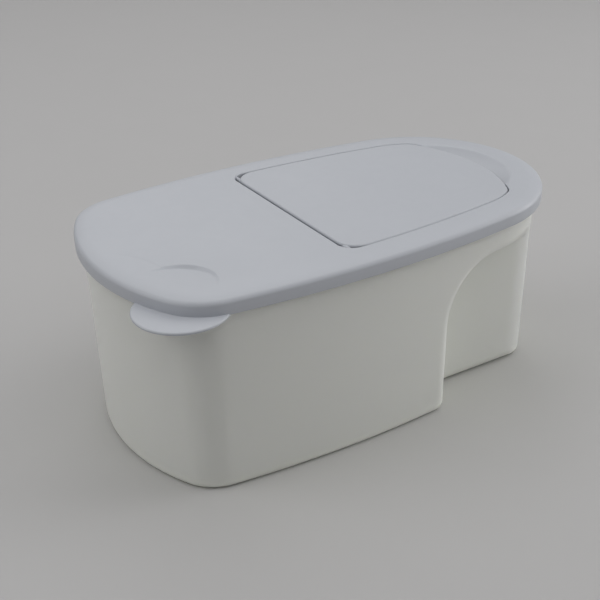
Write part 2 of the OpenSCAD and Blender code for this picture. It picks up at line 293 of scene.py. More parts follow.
class Skin:
    """Faces of one moulding, gathered ring by ring, then welded into one closed mesh."""

    def __init__(self):
        self.points = []
        self.faces = []

    def add(self, points, faces):
        start = len(self.points)
        self.points += [tuple(p) for p in points]
        self.faces += [[start + i for i in face] for face in faces]

    def loft(self, rings):
        """Bands of four-sided faces between rings of equal count."""
        count = len(rings[0])
        faces = []
        for k in range(len(rings) - 1):
            low, high = k * count, (k + 1) * count
            for i in range(count):
                j = (i + 1) % count
                faces.append((low + i, low + j, high + j, high + i))
        self.add([p for r in rings for p in r], faces)

    def sweep(self, path, profile, ceiling=None):
        """A loft of a section, given as insets and heights, round a path and below a ceiling."""
        rings = []
        for inset, z in profile:
            flat = ring(path, inset)
            heights = np.full(len(flat), z) if ceiling is None else np.minimum(ceiling(flat), z)
            rings.append(np.column_stack([flat, heights]))
        self.loft(rings)

    def fill(self, outer, hole=None, loops=(), lines=(), height=0.0):
        """A flat, or gently shaped, face between an outer ring and a hole. height may be a function."""
        rings = [outer] + ([hole] if hole is not None else []) + list(loops)
        points, edges = [], []
        for closed, parts in ((True, rings), (False, lines)):
            for part in parts:
                start = len(points)
                points += [Vector(p) for p in part]
                edges += [(start + i, start + i + 1) for i in range(len(part) - 1)]
                if closed:
                    edges.append((start + len(part) - 1, start))
        made, _, faces, *_ = delaunay_2d_cdt(points, edges, [], 0, CDT_MARGIN)
        flat = np.array([tuple(p) for p in made])
        if hole is not None:
            middles = np.array([flat[list(face)].mean(0) for face in faces])
            keep = ~within(middles, np.array(hole))
            faces = [face for face, kept in zip(faces, keep) if kept]
        heights = height(flat) if callable(height) else np.full(len(flat), height)
        self.add(np.column_stack([flat, heights]), faces)

    def mesh(self, name, sharp=math.radians(50)):
        """Welds the faces, turns them outwards and gives an object at the origin."""
        data = bpy.data.meshes.new(name)
        data.from_pydata([tuple(MM * c for c in p) for p in self.points], [], self.faces)
        work = bmesh.new()
        work.from_mesh(data)
        bmesh.ops.remove_doubles(work, verts=work.verts, dist=WELD)
        bmesh.ops.dissolve_degenerate(work, edges=work.edges, dist=WELD)
        loose = [v for v in work.verts if not v.link_faces]
        bmesh.ops.delete(work, geom=loose, context="VERTS")
        bmesh.ops.recalc_face_normals(work, faces=work.faces)
        open_edges = sum(not e.is_manifold for e in work.edges)
        work.to_mesh(data)
        work.free()
        data.shade_smooth()
        data.set_sharp_from_angle(angle=sharp)
        piece = bpy.data.objects.new(name, data)
        bpy.context.collection.objects.link(piece)
        print(name, len(data.vertices), "points", len(data.polygons), "faces", open_edges, "open edges")
        return piece


def within(points, polygon):
    """Which points lie inside a convex polygon that runs counter-clockwise."""
    inside = np.ones(len(points), bool)
    for a, b in zip(polygon, np.roll(polygon, -1, 0)):
        inside &= (b[0] - a[0]) * (points[:, 1] - a[1]) - (b[1] - a[1]) * (points[:, 0] - a[0]) > 0
    return inside


def rounded(corners, steps=5):
    """A section from corners given as inset, height and radius, each corner turned into an arc."""
    section = []
    for i, (inset, z, radius) in enumerate(corners):
        here = np.array([inset, z])
        if radius == 0 or i in (0, len(corners) - 1):
            section.append(tuple(here))
            continue
        before = np.array(corners[i - 1][:2]) - here
        after = np.array(corners[i + 1][:2]) - here
        before /= np.hypot(*before)
        after /= np.hypot(*after)
        half = math.acos(np.clip(before @ after, -1, 1)) / 2
        middle = here + (before + after) / np.hypot(*(before + after)) * radius / math.sin(half)
        start = here + before * radius / math.tan(half) - middle
        end = here + after * radius / math.tan(half) - middle
        sweep = math.atan2(start[0] * end[1] - start[1] * end[0], start @ end)
        for k in range(steps + 1):
            turn = sweep * k / steps
            c, s = math.cos(turn), math.sin(turn)
            section.append(tuple(middle + (c * start[0] - s * start[1], s * start[0] + c * start[1])))
    return section


corner = [(0.0, 0.0, 0.0), (0.0, 1.0, 0.5), (1.0, 1.0, 0.0)]
print("a rounded corner takes", len(rounded(corner)), "points")


# %% [markdown]
# ## The tub
# The tub is one thin moulding with bowed, slightly leaning walls, a rounded foot and an arched finger
# grip pressed into each side near the pour end. Every edge of a grip is soft. Cutting and bevelling
# would leave pinched corners where the arch meets the bowed wall. Instead the tub is written as a
# distance: a number that is zero on its surface. Two shapes joined by such numbers can meet in a
# rounded edge of any radius. A net of faces is then drawn over the place where the number is zero.

# %% The tub as a distance
TOP_Z = 148.0
RIM_Z = 141.0
TUB_WALL = 2.0
CAVITY_Z = 3.4
WALL_INSET_TOP = 5.5
WALL_INSET_FOOT = 8.0
FOOT_RADIUS = 5.0
FOOT_RISE = 1.2
FOOT_INSET = 25.0
GRIP_X = 50.5
GRIP_HEIGHT = 113.0
GRIP_ARCH_RADIUS = 43.0
GRIP_HALF_WIDTH = 63.0
GRIP_INNER_RADIUS = 10.0
GRIP_OUTER_RADIUS = 9.0


def wall_inset(z):
    return WALL_INSET_FOOT + (WALL_INSET_TOP - WALL_INSET_FOOT) * z / RIM_Z


def both(a, b, radius):
    """The distance to what two shapes share, with their common edge rounded."""
    u, v = a + radius, b + radius
    return np.minimum(np.maximum(u, v), 0) + np.hypot(np.maximum(u, 0), np.maximum(v, 0)) - radius


def grip_distance(p):
    """Negative inside the two finger grips."""
    arch = both(GRIP_X - p[:, 0], p[:, 2] - GRIP_HEIGHT, GRIP_ARCH_RADIUS)
    return both(arch, GRIP_HALF_WIDTH - np.abs(p[:, 1]), GRIP_INNER_RADIUS)


def tub_distance(p, wall, floor_z, edge_radius):
    """Negative inside the tub's outside shape, or inside its hollow where wall is its thickness."""
    inset = inset_of(p[:, :2], lid_path)[0]
    side = wall_inset(p[:, 2]) + wall - inset
    body = both(side, floor_z - p[:, 2], FOOT_RADIUS)
    return both(body, wall - grip_distance(p), edge_radius)


print("distance at the middle", tub_distance(np.array([[0.0, 0.0, 60.0]]), 0.0, 0.0, GRIP_OUTER_RADIUS))

# %% A net over the place where a distance is zero
NET_STEP = 2.4
NET_TOP = 132.0
NET_ROUNDS = 4
SETTLE_ROUNDS = 3
NUDGE = 0.02
LEAST_SLOPE = 0.1
FIELD_CHUNK = 200000


def on_surface(points, distance, rounds, level=None):
    """Moves points to where the distance is zero, along its slope. level keeps some at one height."""
    for _ in range(rounds):
        here = distance(points)
        slope = np.empty_like(points)
        for axis in range(3):
            step = np.zeros(3)
            step[axis] = NUDGE
            slope[:, axis] = (distance(points + step) - distance(points - step)) / (2 * NUDGE)
        if level is not None:
            slope[level, 2] = 0
        points = points - slope * (here / np.maximum((slope**2).sum(1), LEAST_SLOPE))[:, None]
    return points


def net(distance, low, high):
    """Four-sided faces over the zero of a distance, open at the top of the box."""
    axes = [np.arange(a, b + NET_STEP, NET_STEP) for a, b in zip(low, high)]
    axes[2] += high[2] + NET_STEP / 2 - axes[2][-1]
    shape = tuple(len(a) for a in axes)
    grid = np.stack(np.meshgrid(*axes, indexing="ij"), -1).reshape(-1, 3)
    field = np.empty(len(grid))
    for start in range(0, len(grid), FIELD_CHUNK):
        part = slice(start, start + FIELD_CHUNK)
        field[part] = distance(grid[part])
    field = field.reshape(shape)
    inside = field < 0
    cells = tuple(n - 1 for n in shape)
    total = np.zeros(cells + (3,))
    hits = np.zeros(cells)
    pick = [slice(0, -1), slice(1, None)]
    for axis in range(3):
        for a in (0, 1):
            for b in (0, 1):
                ends = []
                for end in (0, 1):
                    corner = [pick[a], pick[b]]
                    corner.insert(axis, pick[end])
                    ends.append(tuple(corner))
                f0, f1 = field[ends[0]], field[ends[1]]
                cross = (f0 < 0) != (f1 < 0)
                part = np.where(cross, f0 / np.where(cross, f0 - f1, 1), 0)
                place = [a, b]
                place.insert(axis, part)
                for k in range(3):
                    total[..., k] += np.where(cross, place[k], 0)
                hits += cross
    used = hits > 0
    number = np.full(cells, -1)
    number[used] = np.arange(used.sum())
    base = np.stack(np.nonzero(used), -1)
    points = np.array([a[0] for a in axes]) + (base + total[used] / hits[used][:, None]) * NET_STEP
    faces = []
    for axis in range(3):
        u, v = (axis + 1) % 3, (axis + 2) % 3
        take = [slice(1, -1)] * 3
        take[axis] = slice(0, -1)
        ahead = list(take)
        ahead[axis] = slice(1, None)
        change = inside[tuple(take)] != inside[tuple(ahead)]
        spot = np.stack(np.nonzero(change), -1)
        for k in range(3):
            if k != axis:
                spot[:, k] += 1
        quad = []
        for du, dv in ((1, 1), (0, 1), (0, 0), (1, 0)):
            cell = spot.copy()
            cell[:, u] -= du
            cell[:, v] -= dv
            quad.append(number[tuple(cell.T)])
        faces.append(np.stack(quad, 1))
    top = base[:, 2] == cells[2] - 1
    points[top, 2] = high[2]
    return points, np.concatenate(faces), top


def relaxed(points, faces, distance, top):
    """Evens out the net: each point moves towards its neighbours' middle and back to the surface."""
    edges = np.concatenate([faces[:, [k, (k + 1) % 4]] for k in range(4)])
    for _ in range(NET_ROUNDS):
        total = np.zeros_like(points)
        count = np.zeros(len(points))
        for a, b in (edges.T, edges.T[::-1]):
            np.add.at(total, a, points[b])
            np.add.at(count, a, 1)
        middle = total / count[:, None]
        middle[top, 2] = points[top, 2]
        points = on_surface(0.5 * points + 0.5 * middle, distance, 1, top)
    return on_surface(points, distance, SETTLE_ROUNDS, top)


def tub_sheet(wall, floor_z, edge_radius):
    """One face of the tub's wall as a net, and its top loop in order."""

    def distance(p):
        return tub_distance(p, wall, floor_z, edge_radius)

    low = (-LID_LENGTH / 2, -LID_WIDTH / 2, floor_z - 2 * NET_STEP)
    high = (LID_LENGTH / 2, LID_WIDTH / 2, NET_TOP)
    points, faces, top = net(distance, low, high)
    points = relaxed(points, faces, distance, top)
    loop = np.nonzero(top)[0]
    angle = np.arctan2(points[loop, 1], points[loop, 0])
    return points, faces, loop[np.argsort(angle)]


outer_points, outer_faces, outer_loop = tub_sheet(0.0, 0.0, GRIP_OUTER_RADIUS)
inner_points, inner_faces, inner_loop = tub_sheet(TUB_WALL, CAVITY_Z, GRIP_OUTER_RADIUS - TUB_WALL)
print("nets", len(outer_faces), len(inner_faces), "loops", len(outer_loop), len(inner_loop))

# %% [markdown]
# ## The tub's rim and foot
# The rim stands out from the wall and carries the ring under the lid. It runs round the outline, so it
# is a loft that starts from the net's own top loop. Inside, the loft meets the hollow's loop, which has
# another count of points, so the two are closed like a zip. The middle of the floor is raised a little,
# which leaves the keeper standing on a ring.

# %% Rim, zip and foot
RIM_OUT = 2.5
RIM_HEIGHT = 3.0
RIM_EDGE = 0.9
RIM_UNDER_EDGE = 1.2
RIM_INNER_EDGE = 0.7
ZIP_RISE = 1.0
FOOT_SLOPE = 2.5
rim_section = rounded(
    [
        (wall_inset(NET_TOP), NET_TOP, 0),
        (wall_inset(RIM_Z - RIM_HEIGHT), RIM_Z - RIM_HEIGHT, RIM_UNDER_EDGE),
        (WALL_INSET_TOP - RIM_OUT, RIM_Z - RIM_HEIGHT, RIM_EDGE),
        (WALL_INSET_TOP - RIM_OUT, RIM_Z, RIM_EDGE),
        (WALL_INSET_TOP + TUB_WALL, RIM_Z, RIM_INNER_EDGE),
        (wall_inset(NET_TOP + ZIP_RISE) + TUB_WALL, NET_TOP + ZIP_RISE, 0),
    ]
)


def loft_from(loop_points, section):
    """Rings at other insets and heights, straight out from the points of a loop on the outline."""
    inset, centre, reach = inset_of(loop_points[:, :2], lid_path)
    away = (loop_points[:, :2] - centre) / (reach - inset)[:, None]
    rings = []
    for target, z in section:
        flat = centre + away * (reach - target)[:, None]
        rings.append(np.column_stack([flat, np.full(len(flat), z)]))
    return rings


def zip_faces(first, second):
    """Triangles between two loops of different counts, both ordered by angle."""
    turn = [np.arctan2(loop[:, 1], loop[:, 0]) for loop in (first, second)]
    count = (len(first), len(second))
    faces = []
    i = j = 0
    while i < count[0] or j < count[1]:
        next_i = turn[0][i + 1] if i + 1 < count[0] else turn[0][0] + TURN
        next_j = turn[1][j + 1] if j + 1 < count[1] else turn[1][0] + TURN
        a, b = i % count[0], count[0] + j % count[1]
        if i < count[0] and (j >= count[1] or next_i <= next_j):
            i += 1
            faces.append((a, i % count[0], b))
        else:
            j += 1
            faces.append((a, count[0] + j % count[1], b))
    return faces


def raise_floor(points):
    """Lifts the middle of the floor's underside over the foot ring."""
    inset = inset_of(points[:, :2], lid_path)[0]
    clear = np.minimum(inset - FOOT_INSET, grip_distance(points) - (FOOT_INSET - WALL_INSET_FOOT))
    step = np.clip(clear / FOOT_SLOPE + 0.5, 0, 1)
    under = points[:, 2] < FOOT_RISE
    points[under, 2] += (FOOT_RISE * step * step * (3 - 2 * step))[under]
    return points


outer_points = raise_floor(outer_points)
rim_rings = loft_from(outer_points[outer_loop], rim_section)
tub_skin = Skin()
tub_skin.add(outer_points, outer_faces)
tub_skin.add(inner_points, inner_faces)
tub_skin.loft([outer_points[outer_loop]] + rim_rings[1:])
zip_points = np.concatenate([rim_rings[-1], inner_points[inner_loop]])
tub_skin.add(zip_points, zip_faces(rim_rings[-1], inner_points[inner_loop]))
tub = tub_skin.mesh("tub_shell")

# %% [markdown]
# ## The lid
# The lid is a plate with a soft edge and a short skirt. A pocket is let into it for the flap, with a
# pour opening in the pocket's floor and a finger scoop that ramps up ahead of the flap. Over the pull tab
# the top is dished for a thumb, and a faint swipe leads into the dish. Skirt, seat, rib, pocket and
# opening are sections swept round their outlines. The top is filled in plan, with the scoop and the dish
# drawn in as circles, and then each point gets its height. The underside follows it, one wall lower.

# %% Heights of the lid's top
LID_HEIGHT = 12.0
LID_EDGE_IN = 11.5
LID_EDGE_FALL = 2.0
LID_EDGE_ROUND = 2.5
ROUND_LEVELS = 8
FALL_LEVELS = 6
LID_THICK = 2.2
DISH_CENTRE = np.array([-146.0, -60.0])
DISH_RADIUS = 24.6
DISH_DEPTH = 2.4
DISH_TURN = math.radians(42)
DISH_START = 0.05
DISH_WALL = 1.4
SWIPE_CENTRE = np.array([-196.0, -37.0])
SWIPE_RADIUS = 50.0
SWIPE_TURN = math.radians(18)
SWIPE_START = 0.85
SWIPE_DEPTH = 0.5
SWIPE_WALL = 1.6
SCOOP_DEPTH = 6.5
SCOOP_LIP = 0.35
SCOOP_PAST = 4.0
SCOOP_FADE = 3.0
HOLLOW_CURVE = 1.5
LINE_STEP = 1.6
WALL_REACH = 1.1
DISH_WALL_LINES = 8
SWIPE_WALL_LINES = 7
DISH_SHARES = (0.3, 0.55, 0.8)
SCOOP_INSETS = (-3.5, -2, -1.2, -0.6, 0, 0.6, 1.2, 2, 3.5, 5, 7, 9, 11, 13, 15)
scoop_ramp = (SCOOP_LENGTH**2 + SCOOP_DEPTH**2) / (2 * SCOOP_DEPTH)
skirt_z = TOP_Z - LID_HEIGHT
plate_z = TOP_Z - LID_THICK
edge_z = TOP_Z - LID_EDGE_FALL - LID_EDGE_ROUND


def smooth_step(t):
    t = np.clip(t, 0, 1)
    return t * t * (3 - 2 * t)


def slope_to_wall(points, centre, radius, turn, start, wall):
    """Share of a hollow's depth: it falls gently in one direction, up to a short wall on a circle."""
    offset = points - centre
    along = offset @ (math.cos(turn), math.sin(turn)) / radius
    fall = np.clip((along - start) / (1 - start), 0, 1) ** HOLLOW_CURVE
    return fall * smooth_step(0.5 + (radius - np.hypot(*offset.T)) / (2 * wall))


def hollow_depth(points):
    """Depth of the thumb dish, and of the fainter swipe beside it."""
    dish = slope_to_wall(points, DISH_CENTRE, DISH_RADIUS, DISH_TURN, DISH_START, DISH_WALL)
    swipe = slope_to_wall(points, SWIPE_CENTRE, SWIPE_RADIUS, SWIPE_TURN, SWIPE_START, SWIPE_WALL)
    return np.maximum(DISH_DEPTH * dish, SWIPE_DEPTH * swipe)


def scoop_fall(points):
    """Depth of the finger scoop: an arc that ramps up to a soft lip on a circle."""
    inset = SCOOP_RADIUS - np.hypot(*(points - scoop_centre).T)
    short = SCOOP_LENGTH - np.clip(inset, -SCOOP_PAST, SCOOP_LENGTH)
    depth = SCOOP_DEPTH - scoop_ramp + np.sqrt(scoop_ramp**2 - short**2)
    soft = 0.5 * (depth + np.hypot(depth, 2 * SCOOP_LIP))
    return soft * smooth_step((inset + SCOOP_PAST) / SCOOP_FADE)


def edge_fall(inset):
    """How far the lid's top falls towards its edge: gently at first, then round a corner."""
    gentle = np.clip(1 - inset / LID_EDGE_IN, 0, 1)
    corner = np.clip(1 - inset / LID_EDGE_ROUND, 0, 1)
    return LID_EDGE_FALL * gentle**2 + LID_EDGE_ROUND * (1 - np.sqrt(1 - corner**2))


def top_height(points):
    """Height of the lid's top: flat, with a soft edge, less the dish and the scoop."""
    edge = TOP_Z - edge_fall(inset_of(points, lid_path)[0])
    return np.minimum(edge, TOP_Z - hollow_depth(points)) - scoop_fall(points)


def under_height(points):
    """Height of the lid's underside, one wall below the dish and the scoop."""
    return plate_z - np.maximum(hollow_depth(points), scoop_fall(points))


def circle_lines(centre, radius, edge_inset, hole):
    """The stretches of a circle that lie further in than an inset, and outside a hole."""
    count = math.ceil(TURN * radius / LINE_STEP)
    angles = np.arange(count + 1) * TURN / count
    points = centre + radius * np.column_stack([np.cos(angles), np.sin(angles)])
    on_lid = inset_of(points, lid_path)[0] > edge_inset
    on_lid &= np.hypot(*points.T) < LID_LENGTH / 2
    on_lid &= ~within(points, hole)
    lines, line = [], []
    for point, kept in zip(points, on_lid):
        if kept:
            line.append(point)
        elif line:
            lines.append(line)
            line = []
    return [part for part in lines + [line] if len(part) > 1]


def hollow_lines(edge_inset, hole):
    """Circles that draw the dish, the swipe and the scoop into a fill."""
    lines = []
    for wall in np.linspace(-WALL_REACH, WALL_REACH, DISH_WALL_LINES):
        lines += circle_lines(DISH_CENTRE, DISH_RADIUS + wall * DISH_WALL, edge_inset, hole)
    for share in DISH_SHARES:
        lines += circle_lines(DISH_CENTRE, DISH_RADIUS * share, edge_inset, hole)
    for wall in np.linspace(-WALL_REACH, WALL_REACH, SWIPE_WALL_LINES):
        lines += circle_lines(SWIPE_CENTRE, SWIPE_RADIUS + wall * SWIPE_WALL, edge_inset, hole)
    for inset in SCOOP_INSETS:
        lines += circle_lines(scoop_centre, SCOOP_RADIUS - inset, edge_inset, hole)
    return lines


round_turns = [math.pi / 2 * k / ROUND_LEVELS for k in range(ROUND_LEVELS + 1)]
round_insets = [LID_EDGE_ROUND * (1 - math.cos(turn)) for turn in round_turns]
fall_insets = np.linspace(LID_EDGE_ROUND, LID_EDGE_IN, FALL_LEVELS + 1)[1:]
print("round edge at insets", np.round(round_insets, 1), "fall at", np.round(fall_insets, 1))

# %% The lid's skin
POCKET_Z = 140.5
POCKET_EDGE_RADIUS = 5.0
POCKET_LIP = 0.9
SKIRT_THICK = 2.2
RIB_INSET = 8.3
RIB_THICK = 1.6
RIB_DROP = 5.0
SEAT_Z = 143.4
RIB_EDGE = 0.6
SKIRT_EDGE = 0.9
SMALL_EDGE = 0.5
FLAT_MARGIN = 1.0
PORT_MARGIN = 1.5
BOX_MARGIN = 2.0
LINE_MARGIN = 0.5
SECTION_STEPS = 9
pocket_under_z = POCKET_Z - LID_THICK
rib_inner = RIB_INSET + RIB_THICK

under_section = rounded(
    [
        (rib_inner + FLAT_MARGIN, plate_z, 0),
        (rib_inner, plate_z, RIB_EDGE),
        (rib_inner, RIM_Z - RIB_DROP, RIB_EDGE),
        (RIB_INSET, RIM_Z - RIB_DROP, RIB_EDGE),
        (RIB_INSET, SEAT_Z, SMALL_EDGE),
        (SKIRT_THICK, SEAT_Z, SMALL_EDGE),
        (SKIRT_THICK, skirt_z, SMALL_EDGE),
        (0.0, skirt_z, SKIRT_EDGE),
        (0.0, edge_z, 0),
    ]
)
pocket_section = rounded(
    [
        (-POCKET_LIP - FLAT_MARGIN, TOP_Z, 0),
        (0.0, TOP_Z, POCKET_LIP),
        (0.0, POCKET_Z, POCKET_EDGE_RADIUS),
        (POCKET_EDGE_RADIUS + FLAT_MARGIN, POCKET_Z, 0),
    ],
    steps=SECTION_STEPS,
)
port_section = rounded(
    [
        (-PORT_MARGIN, POCKET_Z, 0),
        (0.0, POCKET_Z, SMALL_EDGE),
        (0.0, pocket_under_z, SMALL_EDGE),
        (-PORT_MARGIN, pocket_under_z, 0),
    ]
)
box_section = rounded(
    [
        (POCKET_EDGE_RADIUS, pocket_under_z, 0),
        (-LID_THICK, pocket_under_z, POCKET_EDGE_RADIUS),
        (-LID_THICK, plate_z, RIB_EDGE),
        (-LID_THICK - BOX_MARGIN, plate_z, 0),
    ]
)


def make_lid_skin():
    skin = Skin()
    skin.sweep(lid_path, under_section)
    round_rings = [ring(lid_path, inset) for inset in round_insets]
    skin.loft([np.column_stack([flat, top_height(flat)]) for flat in round_rings])
    top_hole = pocket_section[0][0]
    skin.fill(
        round_rings[-1],
        hole=ring(pocket_path, top_hole),
        loops=[ring(lid_path, inset) for inset in fall_insets],
        lines=hollow_lines(LID_EDGE_ROUND + LINE_MARGIN, ring(pocket_path, top_hole - LINE_MARGIN)),
        height=top_height,
    )
    skin.sweep(pocket_path, pocket_section, top_height)
    skin.fill(
        ring(pocket_path, pocket_section[-1][0]),
        hole=ring(port_path, port_section[0][0]),
        height=POCKET_Z,
    )
    skin.sweep(port_path, port_section)
    skin.fill(
        ring(pocket_path, box_section[0][0]),
        hole=ring(port_path, port_section[-1][0]),
        height=pocket_under_z,
    )
    skin.sweep(pocket_path, box_section, under_height)
    under_hole = box_section[-1][0]
    skin.fill(
        ring(lid_path, under_section[0][0]),
        hole=ring(pocket_path, under_hole),
        lines=hollow_lines(under_section[0][0] + LINE_MARGIN, ring(pocket_path, under_hole - LINE_MARGIN)),
        height=under_height,
    )
    return skin


lid_skin = make_lid_skin()
print("lid skin of", len(lid_skin.faces), "faces")

# %% [markdown]
# ## The pull tab
# A round tab stands out below the skirt at the near tail corner. Only the part outside the skirt shows.
# Its section has a half-round edge, and it is drawn between the circle and the skirt's inner face, so
# that it grows out of the skirt with no step.

# %% Pull tab
TAB_RADIUS = 31.5
TAB_THICK = 2.2
TAB_CENTRE = np.array([-151.0, -72.5])
TAB_STEPS = 90
TAB_ROOT_INSET = 1.2
TAB_EDGE_STEPS = 8
CIRCLE_STEPS = 720


def on_circle(centre, radius, turns):
    return centre + radius * np.column_stack([np.cos(turns), np.sin(turns)])


def at_height(flat, z):
    return np.column_stack([flat, np.full(len(flat), z)])


def add_tab(skin):
    """Strips from the root on the skirt, over the half-round edge and back to the root."""
    angles = np.arange(CIRCLE_STEPS + 1) * TURN / CIRCLE_STEPS
    outside = inset_of(on_circle(TAB_CENTRE, TAB_RADIUS, angles), lid_path)[0] < TAB_ROOT_INSET
    first = np.nonzero(outside & ~np.roll(outside, 1))[0][0]
    span = int(outside.sum()) - 1
    turns = angles[first] + np.linspace(0, span * TURN / CIRCLE_STEPS, TAB_STEPS + 1)
    edge = on_circle(TAB_CENTRE, TAB_RADIUS, turns)
    root = onto_outline(edge, TAB_ROOT_INSET)
    inward = TAB_CENTRE - edge
    inward /= np.hypot(*inward.T)[:, None]
    width = np.hypot(*(edge - root).T)
    half = np.minimum(TAB_THICK / 2, width / 2)[:, None]
    strips = [at_height(root, skirt_z + TAB_THICK / 2)]
    for k in range(TAB_EDGE_STEPS + 1):
        turn = math.pi / 2 - math.pi * k / TAB_EDGE_STEPS
        flat = edge + inward * half * (1 - math.cos(turn))
        strips.append(at_height(flat, skirt_z + TAB_THICK / 2 * math.sin(turn)))
    strips.append(at_height(root, skirt_z - TAB_THICK / 2))
    count = len(root)
    faces = []
    for k in range(len(strips)):
        low, high = k * count, ((k + 1) % len(strips)) * count
        faces += [(low + i, low + i + 1, high + i + 1, high + i) for i in range(count - 1)]
    starts = [k * count for k in range(len(strips))]
    skin.add(np.concatenate(strips), faces + [starts, [k + count - 1 for k in starts]])


def onto_outline(points, inset):
    """The nearest places on the outline at an inset."""
    depth, centre, reach = inset_of(points, lid_path)
    away = (points - centre) / (reach - depth)[:, None]
    return centre + away * (reach - inset)[:, None]


add_tab(lid_skin)
print("tab of radius", TAB_RADIUS, "at", TAB_CENTRE)

# %% [markdown]
# ## The hinge's sockets
# Two small bosses under the lid, one beside each end of the hinge, hold the flap's axle stubs. On the
# real lid they are moulded with it. Each is a block with rounded edges, lofted along the hinge axis, that
# starts inside the pocket's wall and stands out from its back.

# %% Sockets
BEAD_RADIUS = 2.2
BEAD_IN = 0.3
SOCKET_HALF = 3.7
SOCKET_LOW = 3.7
SOCKET_HIGH = 1.1
SOCKET_DEPTH = 7.4
SOCKET_ROOT = 1.0
SOCKET_EDGE = 0.6
SOCKET_STEPS = 4
SOCKET_END_SHARE = 0.9
hinge_x = HINGE_EDGE_X + HINGE_GAP + BEAD_IN + BEAD_RADIUS
hinge_z = TOP_Z - BEAD_RADIUS
pocket_half = LID_WIDTH / 2 - BORDER


def socket_ring(y, inset):
    """A rounded rectangle across the hinge axis, drawn in by an inset."""
    points = []
    for quarter in range(4):
        for k in range(SOCKET_STEPS + 1):
            turn = math.pi / 2 * (quarter + k / SOCKET_STEPS)
            across, rise = math.cos(turn), math.sin(turn)
            right, high = quarter in (0, 3), quarter in (0, 1)
            x = hinge_x + (SOCKET_HALF - SOCKET_EDGE) * (1 if right else -1)
            z = hinge_z + (SOCKET_HIGH - SOCKET_EDGE if high else SOCKET_EDGE - SOCKET_LOW)
            reach = SOCKET_EDGE - inset
            points.append((x + reach * across, y, z + reach * rise))
    return np.array(points)


def add_sockets(skin):
    end = pocket_half + SOCKET_DEPTH
    for side in (-1, 1):
        rings = [socket_ring(side * (pocket_half + SOCKET_ROOT), 0.0)]
        for k in range(SOCKET_STEPS + 1):
            turn = math.pi / 2 * k / SOCKET_STEPS
            back = SOCKET_EDGE * (1 - math.sin(turn))
            inset = SOCKET_END_SHARE * SOCKET_EDGE * (1 - math.cos(turn))
            rings.append(socket_ring(side * (end - back), inset))
        skin.loft(rings)
        skin.add(rings[0], [range(len(rings[0]))])
        skin.add(rings[-1], [range(len(rings[-1]))])


add_sockets(lid_skin)
lid = lid_skin.mesh("lid_shell")

# %% [markdown]
# ## The flap
# The flap is a flat plate with an eased edge. Under it are a raised seat for its ring, a plug that
# drops into the pour opening, and along the hinge a bead with an axle stub at each end. It is made like
# the lid, from sections swept round outlines, and turned pieces for the bead and the stubs.

# %% Flap
FLAP_EDGE_RADIUS = 1.3
FLAP_SEAL_WIDTH = 4.0
PLUG_GAP = 0.8
FLAP_SEAT_Z = 143.0
AXLE_RADIUS = 1.5
AXLE_GRIP = 4.8
BEAD_CLEAR = 0.06
BEAD_CHAMFER = 0.5
STUB_CHAMFER = 0.4
SEAT_EDGE = 0.4
SEAT_INNER_EDGE = 0.3
ROUND_STEPS = 24
plate_section = rounded(
    [
        (FLAP_EDGE_RADIUS + FLAT_MARGIN, TOP_Z, 0),
        (0.0, TOP_Z, FLAP_EDGE_RADIUS),
        (0.0, plate_z, SMALL_EDGE),
        (SMALL_EDGE + FLAT_MARGIN, plate_z, 0),
    ]
)
seat_section = rounded(
    [
        (-FLAP_SEAL_WIDTH - PLUG_GAP - FLAT_MARGIN, plate_z, 0),
        (-FLAP_SEAL_WIDTH - PLUG_GAP, plate_z, SEAT_EDGE),
        (-FLAP_SEAL_WIDTH - PLUG_GAP, FLAP_SEAT_Z, SEAT_EDGE),
        (PLUG_GAP, FLAP_SEAT_Z, SEAT_INNER_EDGE),
        (PLUG_GAP, pocket_under_z, SMALL_EDGE),
        (PLUG_GAP + LID_THICK, pocket_under_z, SMALL_EDGE),
        (PLUG_GAP + LID_THICK, plate_z, SMALL_EDGE),
        (PLUG_GAP + LID_THICK + PORT_MARGIN, plate_z, 0),
    ]
)


def turned(skin, profile):
    """A turned piece on the hinge axis, from places along it and radii."""
    rings = []
    for y, radius in profile:
        angles = np.arange(ROUND_STEPS) * TURN / ROUND_STEPS
        x = hinge_x + radius * np.cos(angles)
        z = hinge_z + radius * np.sin(angles)
        rings.append(np.column_stack([x, np.full(ROUND_STEPS, y), z]))
    skin.loft(rings)
    skin.add(rings[0], [range(ROUND_STEPS)])
    skin.add(rings[-1], [range(ROUND_STEPS)])


def make_flap_skin():
    skin = Skin()
    skin.fill(ring(flap_path, plate_section[0][0]), height=TOP_Z)
    skin.sweep(flap_path, plate_section)
    skin.fill(
        ring(flap_path, plate_section[-1][0]),
        hole=ring(port_path, seat_section[0][0]),
        height=plate_z,
    )
    skin.sweep(port_path, seat_section)
    skin.fill(ring(port_path, seat_section[-1][0]), height=plate_z)
    return skin


def make_bead_skin():
    bead_half = hinge_corner(HINGE_EDGE_X + HINGE_GAP, BORDER + SIDE_GAP, FLAP_CORNER_RADIUS)[1]
    axle_half = pocket_half + AXLE_GRIP
    radius = BEAD_RADIUS - BEAD_CLEAR
    half = [
        (bead_half - BEAD_CHAMFER, radius),
        (bead_half, radius - BEAD_CHAMFER),
        (bead_half, AXLE_RADIUS),
        (axle_half - STUB_CHAMFER, AXLE_RADIUS),
        (axle_half, AXLE_RADIUS - STUB_CHAMFER),
    ]
    skin = Skin()
    turned(skin, [(-y, reach) for y, reach in reversed(half)] + half)
    return skin


flap = make_flap_skin().mesh("flap_shell")
bead = make_bead_skin().mesh("flap_bead")

# %% [markdown]
# ## The two soft rings
# A ring of soft rubber lies between the lid and the tub's rim, and another under the flap. A ring is one
# section carried along a closed line, which is what a Geometry Nodes tree does well: the line becomes a
# curve, and a small rounded rectangle is swept along it. Both rings use the same tree with other sizes.

# %% Ring tree
RING_SIDES = 6
RING_EDGE_SHARE = 0.3


